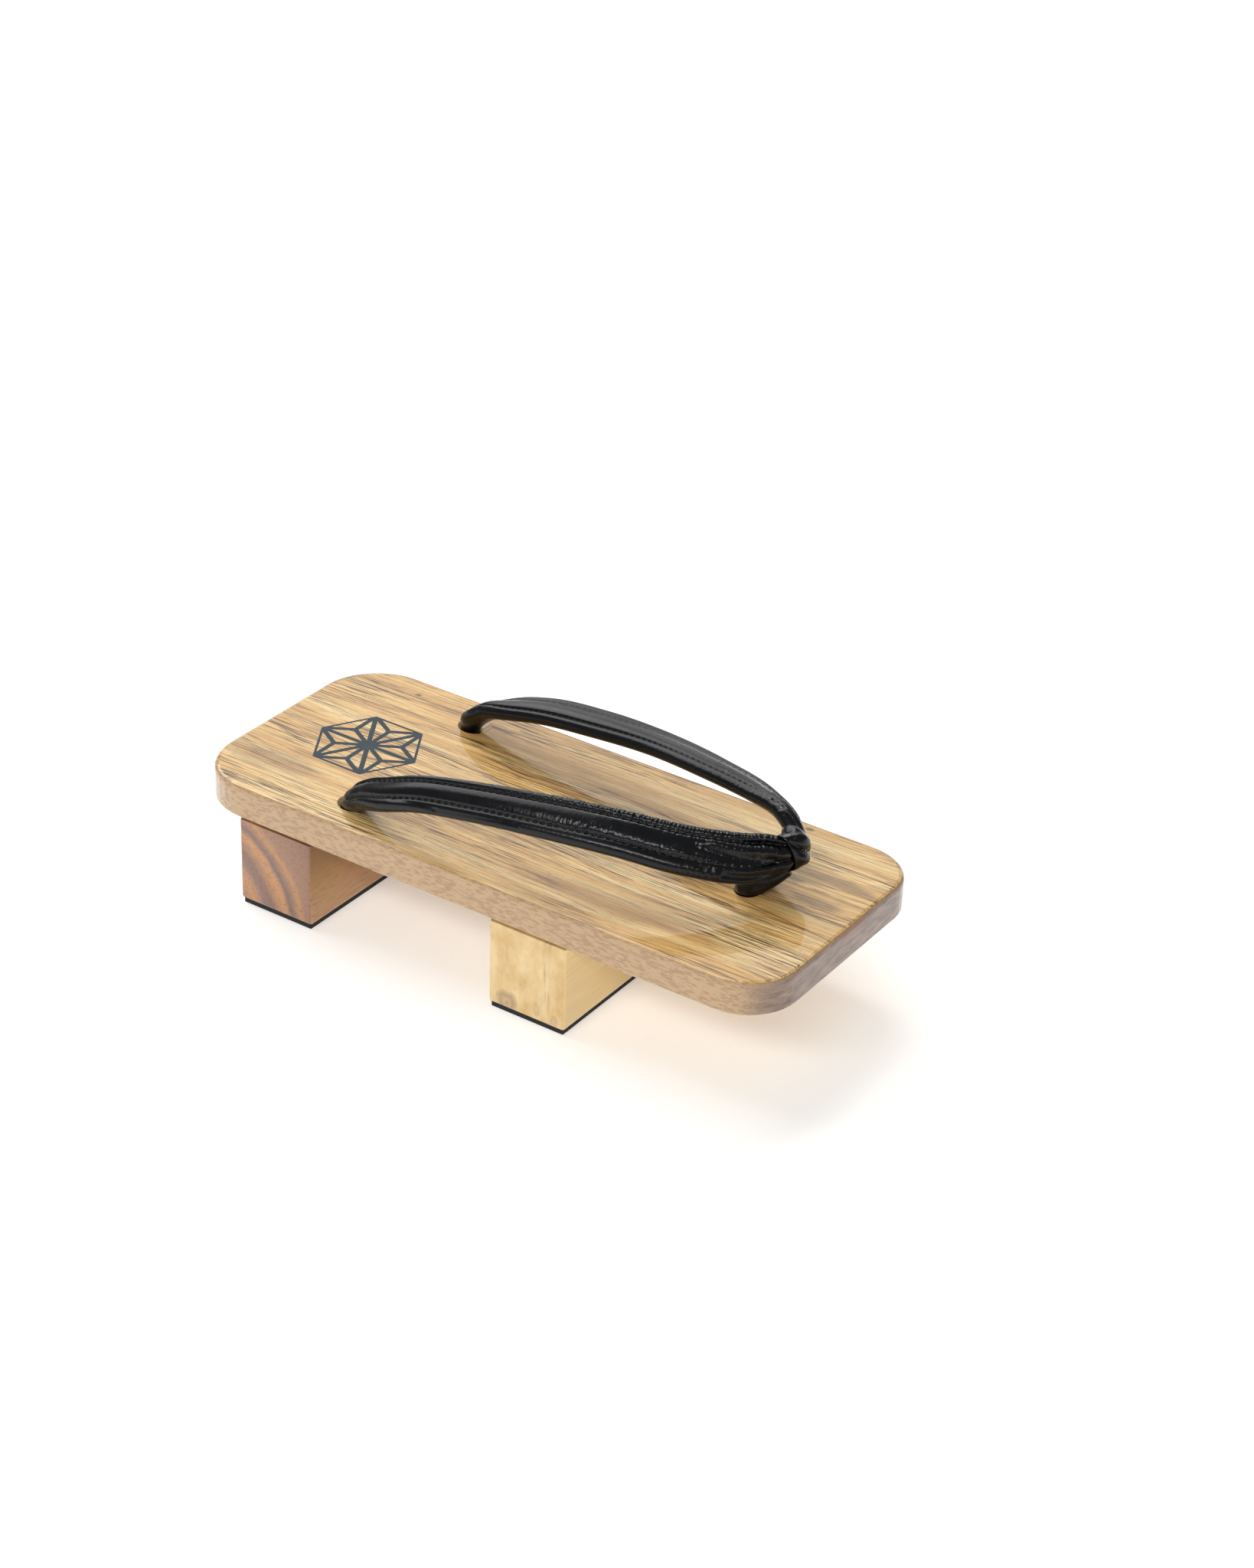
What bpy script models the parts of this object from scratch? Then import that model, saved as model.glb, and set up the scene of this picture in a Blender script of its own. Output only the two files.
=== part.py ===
"""A wooden sandal: a board on two blocks, with a padded thong strap.

The frame has its origin on the floor under the middle of the board, +X to the toe,
+Y to one side and +Z up. Lengths are in metres. Heights of the strap are measured
from the top of the board, and its table holds shares of the strap's own sizes.
"""

import math

import bmesh
import bpy
import numpy
from mathutils import Vector

# Board
BOARD_LENGTH = 0.285
BOARD_WIDTH = 0.120
BOARD_THICKNESS = 0.015
HEEL_CORNER = 0.028
TOE_CORNER = 0.0228
TOP_EASING = 0.0022
BOTTOM_EASING = 0.0010
CORNER_STEPS = 10

# Blocks under the board, each with a rubber sole
BLOCK_HEIGHT = 0.038
BLOCK_EASING = 0.0010
HEEL_BLOCK_FROM_HEEL = 0.0282
HEEL_BLOCK_LENGTH = 0.0374
TOE_BLOCK_FROM_TOE = 0.0914
TOE_BLOCK_LENGTH = 0.0368
RUBBER_THICKNESS = 0.0020
RUBBER_SETBACK = 0.0008
RUBBER_EASING = 0.0004
SEAM = 0.0003

# Holes through the board
REAR_HOLE_FROM_HEEL = 0.0725
REAR_HOLE_SPACING = 0.082
REAR_HOLE_SLANT = math.radians(12)
FRONT_HOLE_FROM_TOE = 0.0465
REAR_HOLE_EASING = 0.0026
FRONT_HOLE_EASING = 0.0010
HOLE_STEPS = 24

# Strap: two padded arms joined in front, with a row of stitches along each edge.
# A section is an oval, and the flatter it is, the squarer its ends. The rows of stitches
# lie at shares of half its width, below 0 to its inner edge.
STRAP_WIDTH = 0.020
STRAP_THICKNESS = 0.0072
STRAP_RISE = 0.027
STRAP_TAIL = 0.0080
STRAP_TIP_FROM_TOE = 0.0325
STITCH_GROOVE = 0.0007
STITCH_ROW_SHARES = (-0.62, 0.38)
STITCH_GROOVE_SHARE = 0.12
OVAL = 2.0
SQUARENESS = 0.8
TAIL_SHARES = (0.12, 0.5, 1.0)
STRAP_RING_POINTS = 28
STRAP_STEPS = 3
SLEEVE_STEPS = 60
STEM_STEPS = 4

# Front loop: a leather sleeve round the strap's bend, on a stem in the front hole
LOOP_WIDTH = 0.0100
LOOP_WALL = 0.0020
STEM_RING_POINTS = 20
SLEEVE_SHARES = (-1.0, -0.85, -0.5, 0.0, 0.5, 0.85, 1.0)
SLEEVE_ROUNDING = 0.85
SLEEVE_TURN = 0.5
STEM_DIAMETER = 0.0084

# How far the slack strap's bend leans from the middle of the board
LEAN = 0.0105
# Free space round the strap and the stem in the loop and the holes
CLEARANCE = 0.0003

RUBBER_TOP = RUBBER_THICKNESS + SEAM
BOARD_BOTTOM = RUBBER_TOP + BLOCK_HEIGHT + SEAM
BOARD_TOP = BOARD_BOTTOM + BOARD_THICKNESS
HEEL_END = -BOARD_LENGTH / 2
TOE_END = BOARD_LENGTH / 2
REAR_HOLE_X = HEEL_END + REAR_HOLE_FROM_HEEL
FRONT_HOLE_X = TOE_END - FRONT_HOLE_FROM_TOE
STRAP_TIP_X = TOE_END - STRAP_TIP_FROM_TOE
STRAP_REACH = STRAP_TIP_X - REAR_HOLE_X

# One row for each section of the strap, from the hole on the -Y side round the bend
# to the hole on the +Y side.
# forward: share of the reach from the rear holes to the bend
# side: share of half the spacing of the rear holes, and lean: share of the lean
# rise, wide, thick: shares of the strap's rise, width and thickness
# roll: turn in degrees of the outer face, from straight up to straight outward
STRAP_COLUMNS = ("forward", "side", "lean", "rise", "wide", "thick", "roll")
STRAP_ROWS = (
    (0.010, -1.04, 0.00, 0.07, 0.54, 1.16, 38),
    (0.055, -1.07, 0.00, 0.30, 0.71, 1.12, 36),
    (0.120, -1.11, 0.00, 0.49, 0.78, 1.06, 36),
    (0.200, -1.11, 0.00, 0.69, 0.79, 1.01, 42),
    (0.360, -1.05, 0.00, 0.88, 0.83, 1.00, 46),
    (0.530, -0.94, 0.00, 0.97, 0.90, 1.00, 44),
    (0.700, -0.77, 0.05, 0.96, 0.97, 1.00, 40),
    (0.840, -0.54, 0.25, 0.80, 1.02, 1.00, 44),
    (0.935, -0.30, 0.60, 0.69, 0.98, 0.98, 56),
    (0.965, -0.17, 0.76, 0.69, 0.84, 0.97, 64),
    (0.991, -0.07, 0.89, 0.69, 0.63, 0.96, 70),
    (1.000, 0.01, 1.00, 0.72, 0.49, 0.94, 70),
    (0.991, 0.07, 1.08, 0.75, 0.54, 0.95, 63),
    (0.935, 0.26, 1.15, 0.88, 0.78, 0.96, 45),
    (0.840, 0.48, 0.95, 0.92, 0.92, 0.98, 24),
    (0.700, 0.72, 0.45, 0.95, 0.95, 1.00, 14),
    (0.530, 0.95, 0.10, 0.89, 0.94, 1.00, 7),
    (0.360, 1.01, 0.00, 0.82, 0.92, 1.00, -1),
    (0.200, 1.02, 0.00, 0.68, 0.88, 1.01, -1),
    (0.120, 0.99, 0.00, 0.55, 0.81, 1.05, 5),
    (0.055, 0.96, 0.00, 0.39, 0.70, 1.10, 22),
    (0.010, 0.94, 0.00, 0.13, 0.51, 1.14, 36),
)
BEND_ROW = [row[0] for row in STRAP_ROWS].index(1.0)

# Stem of the front loop, from under the board up to the sleeve.
# toward: share of the way from the hole to the bend, rise: share of the bend's height
# round: share of the stem's diameter
STEM_COLUMNS = ("toward", "rise", "round")
STEM_ROWS = (
    (0.00, 0.03, 1.25),
    (0.00, 0.12, 1.12),
    (0.08, 0.26, 1.00),
    (0.42, 0.42, 1.00),
    (0.86, 0.60, 0.84),
)


def clear_scene():
    for existing in list(bpy.data.objects):
        bpy.data.objects.remove(existing, do_unlink=True)


def linear(hex_colour):
    """Turns an sRGB colour such as "D8B98C" into linear red, green, blue and alpha."""
    channels = [int(hex_colour[i:i + 2], 16) / 255 for i in (0, 2, 4)]
    return [tone / 12.92 if tone <= 0.04045 else ((tone + 0.055) / 1.055) ** 2.4
            for tone in channels] + [1.0]


def make_material(name, hex_colour, roughness):
    material = bpy.data.materials.new(name)
    material.use_nodes = True
    shader = material.node_tree.nodes["Principled BSDF"]
    shader.inputs["Base Color"].default_value = linear(hex_colour)
    shader.inputs["Roughness"].default_value = roughness
    shader.inputs["Metallic"].default_value = 0.0
    return material


def add_object(name, shape, material=None, smooth=False):
    """Makes an object of a bmesh, with faces that point out."""
    bmesh.ops.recalc_face_normals(shape, faces=shape.faces)
    mesh = bpy.data.meshes.new(name)
    shape.to_mesh(mesh)
    shape.free()
    if smooth:
        mesh.shade_smooth()
        mesh.set_sharp_from_angle(angle=math.radians(50))
    if material:
        mesh.materials.append(material)
    made = bpy.data.objects.new(name, mesh)
    bpy.context.scene.collection.objects.link(made)
    return made


def add_guide(name, shape):
    """Makes an object that only cuts or joins another."""
    guide = add_object(name, shape)
    guide.hide_render = True
    guide.display_type = "WIRE"
    return guide


def combine(target, tool, operation):
    boolean = target.modifiers.new(operation.title() + " " + tool.name, "BOOLEAN")
    boolean.operation = operation
    boolean.solver = "EXACT"
    boolean.object = tool


def ease_edges(shape, edges, width, steps):
    bmesh.ops.bevel(shape, geom=edges, offset=width, offset_type="OFFSET", segments=steps,
                    profile=0.5, affect="EDGES", material=-1, clamp_overlap=True)


def prism(outline, bottom, top):
    """Raises a flat outline into a solid from bottom to top."""
    shape = bmesh.new()
    face = shape.faces.new([shape.verts.new((x, y, bottom)) for x, y in outline])
    raised = bmesh.ops.extrude_face_region(shape, geom=[face])
    lifted = [item for item in raised["geom"] if isinstance(item, bmesh.types.BMVert)]
    bmesh.ops.translate(shape, verts=lifted, vec=(0, 0, top - bottom))
    bmesh.ops.recalc_face_normals(shape, faces=shape.faces)
    return shape


def level_edges(shape, height):
    return [edge for edge in shape.edges
            if all(abs(vertex.co.z - height) < 1e-6 for vertex in edge.verts)]


def upright_edges(shape):
    return [edge for edge in shape.edges
            if abs(edge.verts[0].co.z - edge.verts[1].co.z) > 1e-4]


def board_outline():
    """Gives the board's outline: a rectangle with a round corner at each end of each side."""
    half_width = BOARD_WIDTH / 2
    corners = (
        (TOE_END - TOE_CORNER, half_width - TOE_CORNER, TOE_CORNER, 0),
        (HEEL_END + HEEL_CORNER, half_width - HEEL_CORNER, HEEL_CORNER, 90),
        (HEEL_END + HEEL_CORNER, HEEL_CORNER - half_width, HEEL_CORNER, 180),
        (TOE_END - TOE_CORNER, TOE_CORNER - half_width, TOE_CORNER, 270),
    )
    points = []
    for x, y, radius, start in corners:
        for step in range(CORNER_STEPS + 1):
            angle = math.radians(start + 90 * step / CORNER_STEPS)
            points.append((x + radius * math.cos(angle), y + radius * math.sin(angle)))
    return points


def rear_hole_axis(side):
    """Gives where a rear hole's axis crosses the board's top, and its direction downward."""
    mouth = Vector((REAR_HOLE_X, side * REAR_HOLE_SPACING / 2, BOARD_TOP))
    down = Vector((-math.sin(REAR_HOLE_SLANT), 0, -math.cos(REAR_HOLE_SLANT)))
    return mouth, down


def drill(mouth, down, diameter, easing):
    """Makes a drill along an axis, with a cone that breaks the edge of the hole."""
    radius = diameter / 2
    above = 2 * easing
    stations = ((above, radius + easing + above), (-easing, radius), (-2 * BOARD_THICKNESS, radius))
    across = down.cross(Vector((0, 1, 0))).normalized()
    rings = [circle(mouth - down * height, size, across, down.cross(across), HOLE_STEPS)
             for height, size in stations]
    return loft(bmesh.new(), rings)


def circle(centre, radius, across, other, steps):
    turns = [2 * math.pi * k / steps for k in range(steps)]
    return [centre + (across * math.cos(turn) + other * math.sin(turn)) * radius for turn in turns]


def loft(shape, rings):
    """Skins a row of rings of points and closes both ends."""
    rows = [[shape.verts.new(point) for point in ring] for ring in rings]
    for near, far in zip(rows, rows[1:]):
        for k in range(len(near)):
            n = (k + 1) % len(near)
            shape.faces.new((near[k], near[n], far[n], far[k]))
    shape.faces.new(rows[0])
    shape.faces.new(rows[-1])
    return shape


def distances(points):
    """Gives how far along a row of points each of them lies."""
    return numpy.concatenate(([0.0], numpy.cumsum(numpy.linalg.norm(numpy.diff(points, axis=0), axis=1))))


def smooth_rows(rows, steps):
    """Reads a smooth curve through rows of numbers, in a few steps from each row to the next."""
    table = numpy.array(rows, dtype=float)
    place = distances(table[:, :3])
    slope = numpy.gradient(table, place, axis=0)
    sampled = [table[0]]
    for k in range(len(table) - 1):
        gap = place[k + 1] - place[k]
        for t in numpy.linspace(0.0, 1.0, steps + 1)[1:]:
            start = (2 * t ** 3 - 3 * t ** 2 + 1) * table[k] + (t ** 3 - 2 * t ** 2 + t) * gap * slope[k]
            end = (3 * t ** 2 - 2 * t ** 3) * table[k + 1] + (t ** 3 - t ** 2) * gap * slope[k + 1]
            sampled.append(start + end)
    return numpy.array(sampled)


def headings(path):
    """Gives the direction of a path at each of its points."""
    slopes = numpy.gradient(path[:, :3], distances(path[:, :3]), axis=0)
    return [Vector(slope).normalized() for slope in slopes]


def strap_stations():
    """Gives the strap's sections as rows of x, y, z, width, thickness and roll."""
    stations = []
    for row in STRAP_ROWS:
        share = dict(zip(STRAP_COLUMNS, row))
        stations.append((
            REAR_HOLE_X + share["forward"] * STRAP_REACH,
            share["side"] * REAR_HOLE_SPACING / 2 + share["lean"] * LEAN,
            BOARD_TOP + share["rise"] * STRAP_RISE,
            share["wide"] * STRAP_WIDTH,
            share["thick"] * STRAP_THICKNESS,
            math.radians(share["roll"]),
        ))
    return stations


def strap_tail(side):
    """Gives the round end of the strap in a rear hole, from the mouth to the underside."""
    mouth, down = rear_hole_axis(side)
    roll = math.radians(STRAP_ROWS[0][STRAP_COLUMNS.index("roll")])
    depth = BOARD_THICKNESS / math.cos(REAR_HOLE_SLANT)
    return [(*(mouth + down * depth * share), STRAP_TAIL, STRAP_TAIL, roll) for share in TAIL_SHARES]


def strap_path(steps):
    """Reads the whole strap, tails included, with a few steps between its rows."""
    rows = list(reversed(strap_tail(-1))) + strap_stations() + strap_tail(1)
    return smooth_rows(rows, steps)


def section_ring(station, heading, grow):
    """Gives one section of the strap: a flat pad with a groove along each row of stitches."""
    x, y, z, width, thickness, roll = station
    centre = Vector((x, y, z))
    outward = heading.cross(Vector((0, 0, 1))).normalized()
    upward = outward.cross(heading).normalized()
    across = outward * math.cos(roll) - upward * math.sin(roll)
    face = upward * math.cos(roll) + outward * math.sin(roll)
    power = 2 / (OVAL + SQUARENESS * (1 - thickness / max(width, thickness)))
    ring = []
    for k in range(STRAP_RING_POINTS):
        angle = 2 * math.pi * k / STRAP_RING_POINTS
        cosine, sine = math.cos(angle), math.sin(angle)
        aside = math.copysign(abs(cosine) ** power, cosine) * (width / 2 + grow)
        height = math.copysign(abs(sine) ** power, sine) * (thickness / 2 + grow)
        if sine > 0 and grow == 0:
            for row in STITCH_ROW_SHARES:
                off_row = (aside / width - row / 2) / STITCH_GROOVE_SHARE
                height -= STITCH_GROOVE * math.exp(-off_row ** 2)
        point = centre + across * aside + face * height
        if z > BOARD_TOP:
            point.z = max(point.z, BOARD_TOP + CLEARANCE)
        ring.append(point)
    return ring


def strap_shape(grow=0.0):
    """Lofts the strap, or the strap with free space round it."""
    path = strap_path(STRAP_STEPS)
    rings = [section_ring(station, heading, grow) for station, heading in zip(path, headings(path))]
    return loft(bmesh.new(), rings)


def make_board(material):
    shape = prism(board_outline(), BOARD_BOTTOM, BOARD_TOP)
    ease_edges(shape, level_edges(shape, BOARD_TOP), TOP_EASING, 3)
    ease_edges(shape, level_edges(shape, BOARD_BOTTOM), BOTTOM_EASING, 1)
    board = add_object("board", shape, material, smooth=True)
    for side, name in ((-1, "rear_hole_one"), (1, "rear_hole_two")):
        mouth, down = rear_hole_axis(side)
        rear = drill(mouth, down, STRAP_TAIL + 2 * CLEARANCE, REAR_HOLE_EASING)
        combine(board, add_guide(name, rear), "DIFFERENCE")
    mouth = Vector((FRONT_HOLE_X, 0, BOARD_TOP))
    front = drill(mouth, Vector((0, 0, -1)), STEM_DIAMETER + 2 * CLEARANCE, FRONT_HOLE_EASING)
    combine(board, add_guide("front_hole", front), "DIFFERENCE")


def make_block(name, start, length, material):
    half_width = BOARD_WIDTH / 2
    outline = ((start, -half_width), (start + length, -half_width),
               (start + length, half_width), (start, half_width))
    shape = prism(outline, RUBBER_TOP, RUBBER_TOP + BLOCK_HEIGHT)
    ease_edges(shape, upright_edges(shape) + level_edges(shape, RUBBER_TOP), BLOCK_EASING, 2)
    add_object(name, shape, material)


def make_rubber(name, start, length, material):
    half_width = BOARD_WIDTH / 2 - RUBBER_SETBACK
    low, high = start + RUBBER_SETBACK, start + length - RUBBER_SETBACK
    outline = ((low, -half_width), (high, -half_width), (high, half_width), (low, half_width))
    shape = prism(outline, 0.0, RUBBER_THICKNESS)
    ease_edges(shape, upright_edges(shape), RUBBER_EASING, 2)
    add_object(name, shape, material)


def make_strap(material):
    add_object("strap", strap_shape(), material, smooth=True)


def sleeve_shape():
    """Lofts the sleeve round the strap's bend, with round shoulders at both of its edges."""
    path = strap_path(SLEEVE_STEPS)
    turns = headings(path)
    place = distances(path[:, :3])
    middle = (len(TAIL_SHARES) + BEND_ROW) * SLEEVE_STEPS
    rings = []
    for share in SLEEVE_SHARES:
        k = int(numpy.searchsorted(place, place[middle] + share * LOOP_WIDTH / 2))
        heading = (turns[middle] + SLEEVE_TURN * turns[k]).normalized()
        shoulder = math.sqrt(1 - SLEEVE_ROUNDING * share ** 4)
        rings.append(section_ring(path[k], heading, CLEARANCE + LOOP_WALL * shoulder))
    return loft(bmesh.new(), rings)


def stem_shape():
    """Lofts the stem: straight in its hole, flared on the board, then leaning to the sleeve."""
    bend = Vector(strap_stations()[BEND_ROW][:3])
    foot = Vector((FRONT_HOLE_X, 0, BOARD_TOP))
    stations = [(foot.x, foot.y, BOARD_BOTTOM, STEM_DIAMETER),
                (foot.x, foot.y, BOARD_TOP - FRONT_HOLE_EASING, STEM_DIAMETER)]
    for row in STEM_ROWS:
        share = dict(zip(STEM_COLUMNS, row))
        over = foot.lerp(bend, share["toward"])
        height = BOARD_TOP + share["rise"] * (bend.z - BOARD_TOP)
        stations.append((over.x, over.y, height, share["round"] * STEM_DIAMETER))
    path = smooth_rows(stations, STEM_STEPS)
    across = (bend - foot).cross(Vector((0, 0, 1))).normalized()
    rings = [circle(Vector(station[:3]), station[3] / 2, across, heading.cross(across), STEM_RING_POINTS)
             for station, heading in zip(path, headings(path))]
    return loft(bmesh.new(), rings)


def make_front_loop(material):
    loop = add_object("front_loop", stem_shape(), material, smooth=True)
    combine(loop, add_guide("sleeve", sleeve_shape()), "UNION")
    combine(loop, add_guide("strap_space", strap_shape(CLEARANCE)), "DIFFERENCE")


def main():
    clear_scene()
    heel_start = HEEL_END + HEEL_BLOCK_FROM_HEEL
    toe_start = TOE_END - TOE_BLOCK_FROM_TOE - TOE_BLOCK_LENGTH
    rubber = make_material("black_rubber", "1A1A1A", 0.8)
    make_board(make_material("lacquered_board_wood", "D2B183", 0.25))
    make_block("heel_block", heel_start, HEEL_BLOCK_LENGTH, make_material("red_brown_wood", "A06A48", 0.45))
    make_block("toe_block", toe_start, TOE_BLOCK_LENGTH, make_material("pale_yellow_wood", "E2C48C", 0.45))
    make_rubber("heel_rubber", heel_start, HEEL_BLOCK_LENGTH, rubber)
    make_rubber("toe_rubber", toe_start, TOE_BLOCK_LENGTH, rubber)
    make_strap(make_material("black_strap_leather", "17181B", 0.35))
    make_front_loop(make_material("black_loop_leather", "131417", 0.4))


main()
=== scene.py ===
"""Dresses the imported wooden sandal: lacquered wood, a stitched leather strap and a plain studio.

Lengths are in metres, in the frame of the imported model: +X to the toe, +Z up, floor at 0.
The strap's table is that of the part's source; the stem is a little fuller than its solid.
"""

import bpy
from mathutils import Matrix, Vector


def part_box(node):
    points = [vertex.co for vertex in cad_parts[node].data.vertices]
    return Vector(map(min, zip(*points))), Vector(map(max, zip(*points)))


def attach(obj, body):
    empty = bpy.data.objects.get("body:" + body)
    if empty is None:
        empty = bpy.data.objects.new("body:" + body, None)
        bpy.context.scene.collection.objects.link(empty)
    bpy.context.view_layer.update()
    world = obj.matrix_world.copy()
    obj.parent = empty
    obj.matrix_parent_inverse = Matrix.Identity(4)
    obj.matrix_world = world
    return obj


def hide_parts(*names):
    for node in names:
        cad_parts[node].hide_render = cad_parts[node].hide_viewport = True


bl_info = {
    "name": "Wooden sandal",
    "version": (1, 0, 0),
    "blender": (4, 5, 0),
    "location": "View3D > Sidebar > Sandal",
    "description": "Builds the looks of a lacquered wooden sandal round its packed solids",
    "category": "Object",
}

import math

import bmesh
import bpy
import numpy
from mathutils import Matrix, Vector, noise

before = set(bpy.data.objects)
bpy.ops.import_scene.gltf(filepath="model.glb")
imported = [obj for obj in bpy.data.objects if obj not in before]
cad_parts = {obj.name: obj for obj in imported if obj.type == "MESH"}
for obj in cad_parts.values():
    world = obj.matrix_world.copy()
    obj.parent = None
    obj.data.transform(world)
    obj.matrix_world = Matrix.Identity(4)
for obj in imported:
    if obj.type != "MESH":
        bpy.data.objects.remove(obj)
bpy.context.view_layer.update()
BOARD_LOW, BOARD_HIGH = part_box("board")
HEEL_LOW, HEEL_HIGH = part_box("heel_block")
TOE_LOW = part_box("toe_block")[0]
MM = 0.001
BODY = "root"
BOARD_TOP = BOARD_HIGH.z
BOARD_THICKNESS = BOARD_HIGH.z - BOARD_LOW.z

# Holes that the strap and the loop go into
REAR_HOLE_X = BOARD_LOW.x + 0.0725
REAR_HOLE_SPACING = 0.082
REAR_HOLE_SLANT = math.radians(12)
FRONT_HOLE_X = BOARD_HIGH.x - 0.0465

# Strap and loop, as in the part's source
STRAP_REACH = BOARD_HIGH.x - 0.0325 - REAR_HOLE_X
STRAP_RISE = 0.027
STRAP_TAIL = 0.0080
LEAN = 0.0105
OVAL = 2.0
SQUARENESS = 0.8
TAIL_SHARES = (0.12, 0.5, 1.0)
STITCH_ROW_SHARES = (-0.62, 0.38)
LOOP_WIDTH = 0.0112
LOOP_TURN = 0.5
STEM_DIAMETER = 0.0084
FRONT_HOLE_EASING = 0.0010
CLEARANCE = 0.0003
PATH_STEPS = 60

# Fineness of the leather's meshes, with closer sections where it is most folded
STRAP_TURNS = 96
FINE_STEP = 0.00032
COARSE_STEP = 0.0008
FINE_STRETCH = (-0.130, 0.045)
LOOP_TURNS = 120
LOOP_STEPS = 40
STEM_TURNS = 60
STEM_PATH_STEPS = 10
LOOP_VOXEL = 0.00035

# Where the strap is sewn, from the bend, and how wide it is there at least
SEWN_LENGTH = 0.178
FIRST_STITCH = 4
PLAIN_END = 0.016
SEWN_WIDTH = 0.0105

# forward, side, lean, rise, wide, thick and roll of each section of the strap
STRAP_ROWS = (
    (0.010, -1.04, 0.00, 0.07, 0.54, 1.16, 38),
    (0.055, -1.07, 0.00, 0.30, 0.71, 1.12, 36),
    (0.120, -1.11, 0.00, 0.49, 0.78, 1.06, 36),
    (0.200, -1.11, 0.00, 0.69, 0.79, 1.01, 42),
    (0.360, -1.05, 0.00, 0.88, 0.83, 1.00, 46),
    (0.530, -0.94, 0.00, 0.97, 0.90, 1.00, 44),
    (0.700, -0.77, 0.05, 0.96, 0.97, 1.00, 40),
    (0.840, -0.54, 0.25, 0.80, 1.02, 1.00, 44),
    (0.935, -0.30, 0.60, 0.69, 0.98, 0.98, 56),
    (0.965, -0.17, 0.76, 0.69, 0.84, 0.97, 64),
    (0.991, -0.07, 0.89, 0.69, 0.63, 0.96, 70),
    (1.000, 0.01, 1.00, 0.72, 0.49, 0.94, 70),
    (0.991, 0.07, 1.08, 0.75, 0.54, 0.95, 63),
    (0.935, 0.26, 1.15, 0.88, 0.78, 0.96, 45),
    (0.840, 0.48, 0.95, 0.92, 0.92, 0.98, 24),
    (0.700, 0.72, 0.45, 0.95, 0.95, 1.00, 14),
    (0.530, 0.95, 0.10, 0.89, 0.94, 1.00, 7),
    (0.360, 1.01, 0.00, 0.82, 0.92, 1.00, -1),
    (0.200, 1.02, 0.00, 0.68, 0.88, 1.01, -1),
    (0.120, 0.99, 0.00, 0.55, 0.81, 1.05, 5),
    (0.055, 0.96, 0.00, 0.39, 0.70, 1.10, 22),
    (0.010, 0.94, 0.00, 0.13, 0.51, 1.14, 36),
)
BEND_ROW = [row[0] for row in STRAP_ROWS].index(1.0)

# toward, rise and round of each section of the stem, whose leather is gathered
STEM_ROWS = (
    (0.00, 0.03, 1.25),
    (0.02, 0.12, 1.30),
    (0.16, 0.25, 1.38),
    (0.48, 0.41, 1.32),
    (0.86, 0.60, 1.05),
)

# Small folds of the leather, charted in millimetres from the bend along the strap (less
# than 0 on the -Y arm) and in shares of half its width (over 0 to the lower edge):
# from, to, low share, high share, pitch, reach across and height of the folds
CRINKLES = (
    (-98, -12, -0.96, -0.68, 1.20, 5.0, 0.24),
    (-150, -98, -0.98, -0.76, 1.50, 4.0, 0.08),
    (-120, -66, 0.06, 0.30, 1.10, 2.2, 0.07),
    (-90, -16, 0.00, 0.36, 1.25, 2.6, 0.17),
    (-50, -14, -0.52, -0.16, 1.70, 4.0, 0.09),
    (-40, -10, 0.48, 0.90, 1.80, 5.0, 0.09),
    (12, 78, -0.50, 0.30, 1.60, 6.0, 0.05),
    (14, 60, -0.98, -0.70, 1.70, 5.0, 0.07),
)

# Main creases: start along and across, end along and across, half width in millimetres and height,
# below 0 for a trough
FOLDS = (
    (-50, 0.20, -12, 0.56, 1.7, 0.95),
    (-42, -0.10, -11, 0.20, 1.8, -1.10),
    (-36, -0.44, -9, -0.16, 1.7, 0.90),
    (-30, 0.74, -8, 0.86, 1.3, -0.75),
    (-24, 0.92, -7, 0.98, 1.2, 0.50),
    (-24, -0.72, -8, -0.50, 1.3, -0.80),
    (-17, 0.10, -7, -0.02, 1.1, 0.60),
    (-82, 0.14, -46, 0.16, 1.8, 0.35),
    (-150, 0.80, -112, 0.74, 0.9, -0.35),
    (-172, 0.50, -150, 0.78, 1.0, -0.35),
    (8, -0.30, 22, -0.85, 1.0, -0.55),
    (7, -0.70, 15, -0.95, 0.8, 0.45),
    (8, 0.30, 26, 0.02, 1.4, -0.40),
    (8, 0.05, 28, -0.22, 1.2, 0.40),
    (30, -0.30, 60, -0.05, 1.8, 0.20),
    (62, 0.10, 96, -0.12, 2.0, -0.18),
)

# Lobes and creases of the front loop, in millimetres: start and end of each round the
# strap's section and across the loop, half width and height, below 0 for a trough
LOOP_FOLDS = (
    (13.5, -4.6, 4.5, 2.8, 0.9, -1.70),
    (15.0, -0.5, 9.5, 3.6, 1.5, 1.10),
    (7.5, -3.6, 2.0, 0.5, 1.4, 0.90),
    (18.5, -3.0, 15.5, 4.0, 1.0, 0.50),
    (3.0, 4.2, -1.0, -1.0, 0.8, -0.70),
)
LOOP_GIRTH = 37.0
LOOP_LEAST_WALL = 0.0004

# Lobes round the gathered stem: how many, their height as a share of its radius, their
# turn from section to section and how far above the board they are full
STEM_LOBES = 3
STEM_LOBE_HEIGHT = 0.09
STEM_TWIST = 0.09
STEM_LOBE_RISE = 0.003

# Relief across the strap: middle and half width in shares of half its width, and height
# in millimetres, of each padded ridge
RIDGES = (
    (-0.82, 0.10, 0.35),
    (0.72, 0.20, 0.45),
    (-0.12, 0.30, 0.30),
)
# Half widths of a stitched groove and of the dip round it, depth of the dip in
# millimetres, and how much deeper a pucker makes the groove, as a share
GROOVE_HALF_WIDTH = 0.6
DIP_HALF_WIDTH = 1.9
DIP_DEPTH = 0.30
PUCKER = 0.25
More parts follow.
